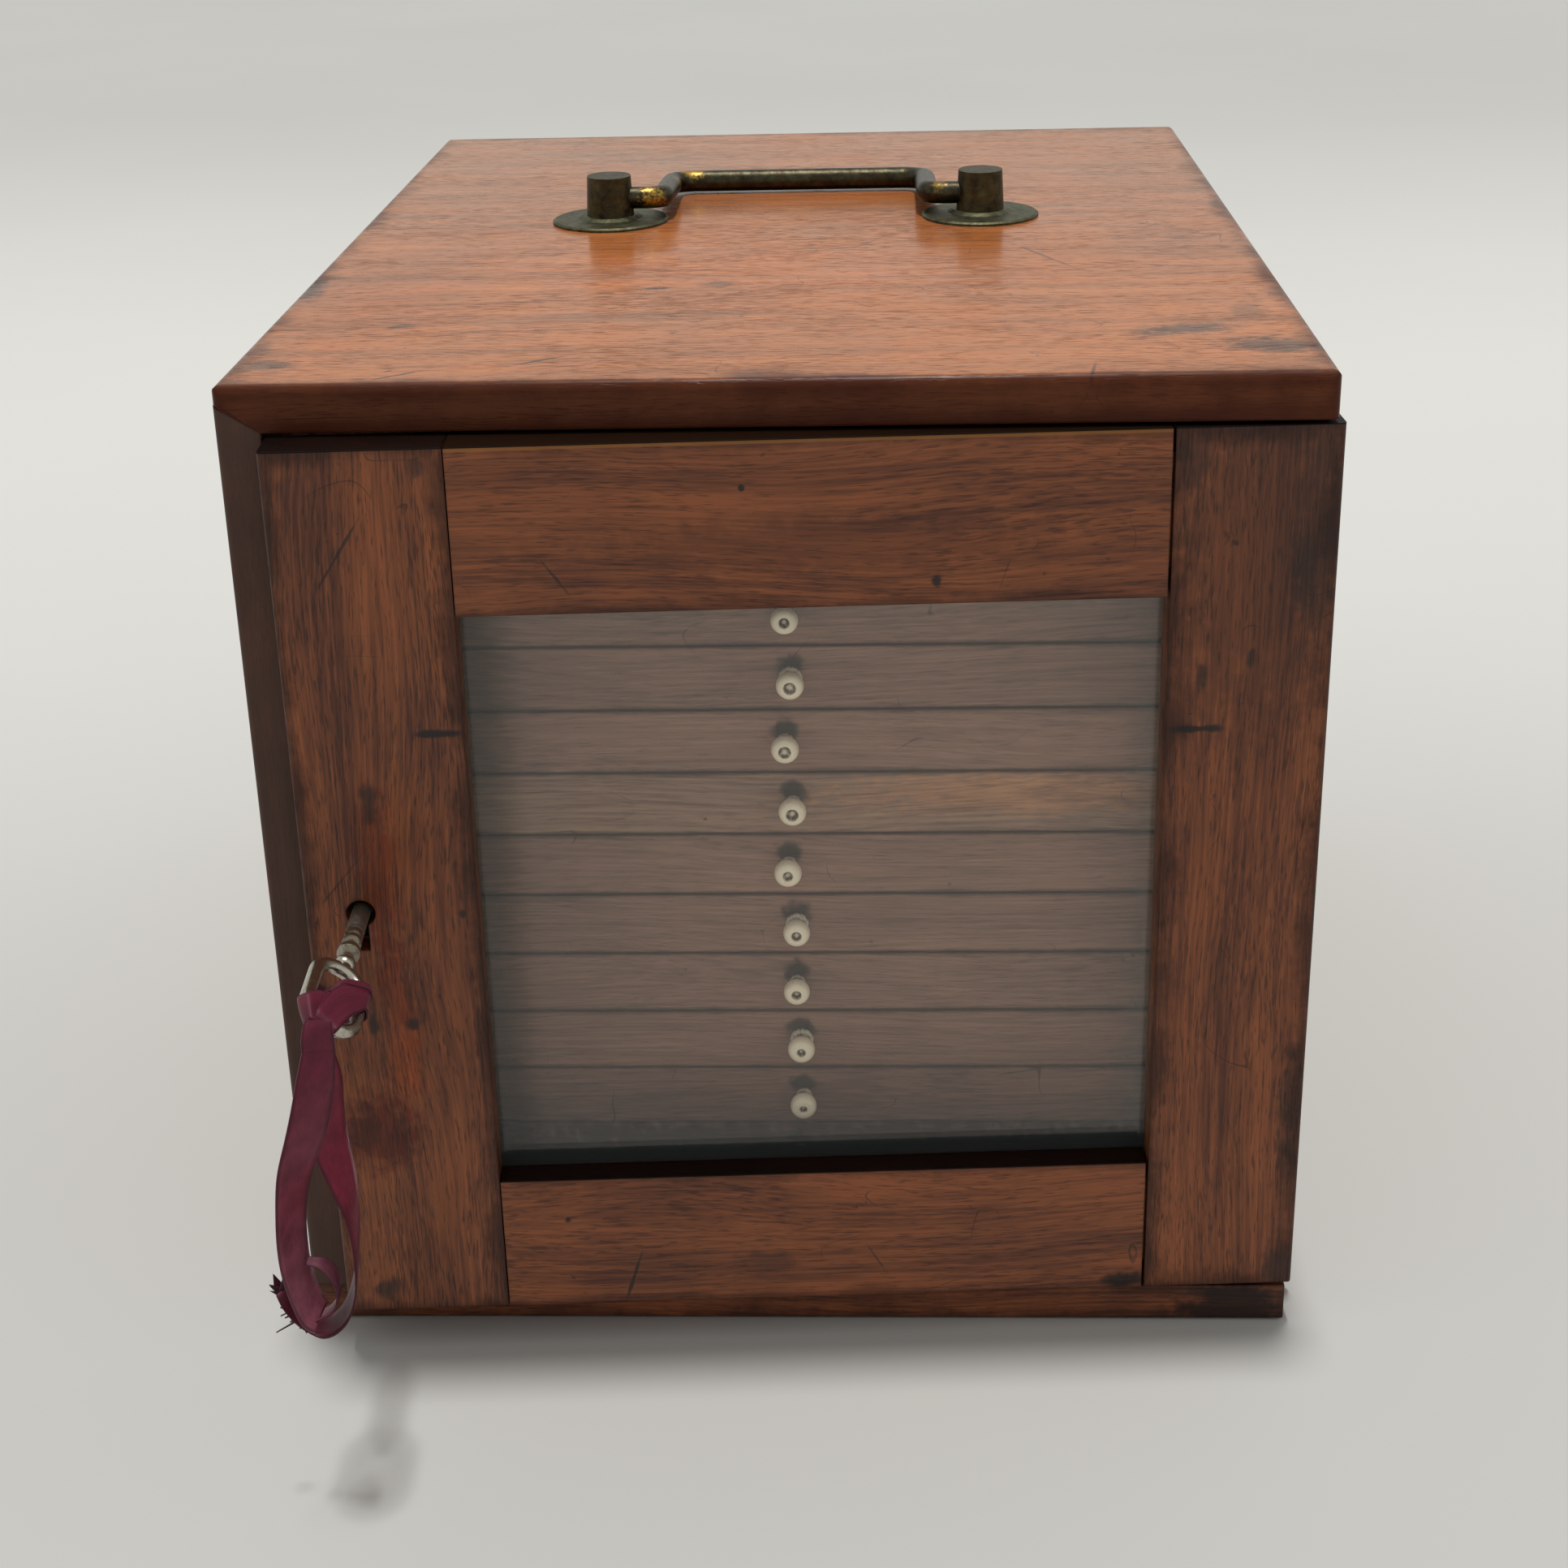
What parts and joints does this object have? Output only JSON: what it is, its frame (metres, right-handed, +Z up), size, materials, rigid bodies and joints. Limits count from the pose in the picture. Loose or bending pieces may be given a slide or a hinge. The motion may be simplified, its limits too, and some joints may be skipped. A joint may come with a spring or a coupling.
{
  "type": "coin cabinet",
  "caption": "Table-top collector's cabinet with a glazed locking door, a stack of shallow coin trays with small knobs, and a folding carrying handle on top.",
  "frame": {"origin": "centre of the underside of the box, between its front and back faces", "axes": "+Z up, +Y towards the back, so the door faces -Y; +X to the right as the door is faced, where its hinges are"},
  "size_m": [0.2434, 0.3781, 0.2526],
  "materials": {
    "case_mahogany": "old french-polished mahogany, satin",
    "tray_mahogany": "dull waxed mahogany",
    "aged_brass": "darkened, rubbed brighter where it is touched",
    "worn_steel": "worn, slightly tarnished",
    "turned_bone": "turned bone, polished",
    "window_glass": "clear old window glass",
    "silk_ribbon": "satin ribbon"
  },
  "bodies": {
    "carcase": {"top_board": "case_mahogany", "bottom_board": "case_mahogany", "left_side": "case_mahogany", "right_side": "case_mahogany", "back_panel": "case_mahogany", "back_screws": "worn_steel", "left_liner": "tray_mahogany", "right_liner": "tray_mahogany", "head_fillet": "tray_mahogany", "hinge_frame_leaves": "aged_brass", "hinge_pins": "aged_brass", "hinge_frame_screws": "aged_brass", "strike_plate": "aged_brass", "strike_screws": "aged_brass", "handle_roses": "aged_brass", "handle_posts": "aged_brass", "handle_nuts": "aged_brass"},
    "door": {"lock_stile": "case_mahogany", "hinge_stile": "case_mahogany", "top_rail": "case_mahogany", "bottom_rail": "case_mahogany", "glass_pane": "window_glass", "glass_beads": "case_mahogany", "hinge_door_leaves": "aged_brass", "hinge_door_screws": "aged_brass", "lock_case": "aged_brass", "lock_screws": "aged_brass", "ribbon": "silk_ribbon"},
    "key": {"door_key": "worn_steel", "ribbon_loop": "silk_ribbon"},
    "bolt": {"lock_bolt": "worn_steel"},
    "bail": {"handle_bail": "aged_brass"},
    "tray_body_01": {"tray_01": "tray_mahogany", "knob_01": "turned_bone"},
    "tray_body_02": {"tray_02": "tray_mahogany", "knob_02": "turned_bone"},
    "tray_body_03": {"tray_03": "tray_mahogany", "knob_03": "turned_bone"},
    "tray_body_04": {"tray_04": "tray_mahogany", "knob_04": "turned_bone"},
    "tray_body_05": {"tray_05": "tray_mahogany", "knob_05": "turned_bone"},
    "tray_body_06": {"tray_06": "tray_mahogany", "knob_06": "turned_bone"},
    "tray_body_07": {"tray_07": "tray_mahogany", "knob_07": "turned_bone"},
    "tray_body_08": {"tray_08": "tray_mahogany", "knob_08": "turned_bone"},
    "tray_body_09": {"tray_09": "tray_mahogany", "knob_09": "turned_bone"},
    "tray_body_10": {"tray_10": "tray_mahogany", "knob_10": "turned_bone"},
    "tray_body_11": {"tray_11": "tray_mahogany", "knob_11": "turned_bone"},
    "tray_body_12": {"tray_12": "tray_mahogany", "knob_12": "turned_bone"},
    "tray_body_13": {"tray_13": "tray_mahogany", "knob_13": "turned_bone"}
  },
  "joints": [
    {"name": "door_swing", "type": "hinge", "parent": "carcase", "child": "door", "pos_m": [0.1214, -0.14238, 0.12], "axis": [0, 0, 1], "range_deg": [-3, 177]},
    {"name": "key_turn", "type": "hinge", "parent": "door", "child": "key", "pos_m": [-0.09584, -0.1664, 0.1195], "axis": [0.0523, -0.9986, 0], "range_deg": [0, 180]},
    {"name": "bolt_throw", "type": "slide", "parent": "door", "child": "bolt", "axis": [-0.9986, -0.0523, 0], "range_m": [0, 0.005]},
    {"name": "bail_swing", "type": "hinge", "parent": "carcase", "child": "bail", "pos_m": [0, 0.014, 0.2464], "axis": [1, 0, 0], "range_deg": [0, 188.5]},
    {"name": "tray_slide_01", "type": "slide", "parent": "carcase", "child": "tray_body_01", "axis": [0, -1, 0], "range_m": [-0.00016, 0.00927]},
    {"name": "tray_slide_02", "type": "slide", "parent": "carcase", "child": "tray_body_02", "axis": [0, -1, 0], "range_m": [-0.00037, 0.02163]},
    {"name": "tray_slide_03", "type": "slide", "parent": "carcase", "child": "tray_body_03", "axis": [0, -1, 0], "range_m": [-0.00011, 0.00618]},
    {"name": "tray_slide_04", "type": "slide", "parent": "carcase", "child": "tray_body_04", "axis": [0, -1, 0], "range_m": [-0.00058, 0.03398]},
    {"name": "tray_slide_05", "type": "slide", "parent": "carcase", "child": "tray_body_05", "axis": [0, -1, 0], "range_m": [-0.00026, 0.01545]},
    {"name": "tray_slide_06", "type": "slide", "parent": "carcase", "child": "tray_body_06", "axis": [0, -1, 0], "range_m": [-0.00079, 0.04634]},
    {"name": "tray_slide_07", "type": "slide", "parent": "carcase", "child": "tray_body_07", "axis": [0, -1, 0], "range_m": [-0.00042, 0.02472]},
    {"name": "tray_slide_08", "type": "slide", "parent": "carcase", "child": "tray_body_08", "axis": [0, -1, 0], "range_m": [-0.00105, 0.06179]},
    {"name": "tray_slide_09", "type": "slide", "parent": "carcase", "child": "tray_body_09", "axis": [0, -1, 0], "range_m": [-0.00063, 0.03707]},
    {"name": "tray_slide_10", "type": "slide", "parent": "carcase", "child": "tray_body_10", "axis": [0, -1, 0], "range_m": [-0.00126, 0.07414]},
    {"name": "tray_slide_11", "type": "slide", "parent": "carcase", "child": "tray_body_11", "axis": [0, -1, 0], "range_m": [-0.00089, 0.05252]},
    {"name": "tray_slide_12", "type": "slide", "parent": "carcase", "child": "tray_body_12", "axis": [0, -1, 0], "range_m": [-0.00142, 0.08341]},
    {"name": "tray_slide_13", "type": "slide", "parent": "carcase", "child": "tray_body_13", "axis": [0, -1, 0], "range_m": [-0.00157, 0.09268]}
  ],
  "couplings": [
    {"joint": "bolt_throw", "follows": "key_turn", "m_per_rad": 0.0015915},
    {"joint": "tray_slide_01", "follows": "door_swing", "m_per_rad": 0.003},
    {"joint": "tray_slide_02", "follows": "door_swing", "m_per_rad": 0.007},
    {"joint": "tray_slide_03", "follows": "door_swing", "m_per_rad": 0.002},
    {"joint": "tray_slide_04", "follows": "door_swing", "m_per_rad": 0.011},
    {"joint": "tray_slide_05", "follows": "door_swing", "m_per_rad": 0.005},
    {"joint": "tray_slide_06", "follows": "door_swing", "m_per_rad": 0.015},
    {"joint": "tray_slide_07", "follows": "door_swing", "m_per_rad": 0.008},
    {"joint": "tray_slide_08", "follows": "door_swing", "m_per_rad": 0.02},
    {"joint": "tray_slide_09", "follows": "door_swing", "m_per_rad": 0.012},
    {"joint": "tray_slide_10", "follows": "door_swing", "m_per_rad": 0.024},
    {"joint": "tray_slide_11", "follows": "door_swing", "m_per_rad": 0.017},
    {"joint": "tray_slide_12", "follows": "door_swing", "m_per_rad": 0.027},
    {"joint": "tray_slide_13", "follows": "door_swing", "m_per_rad": 0.03}
  ]
}
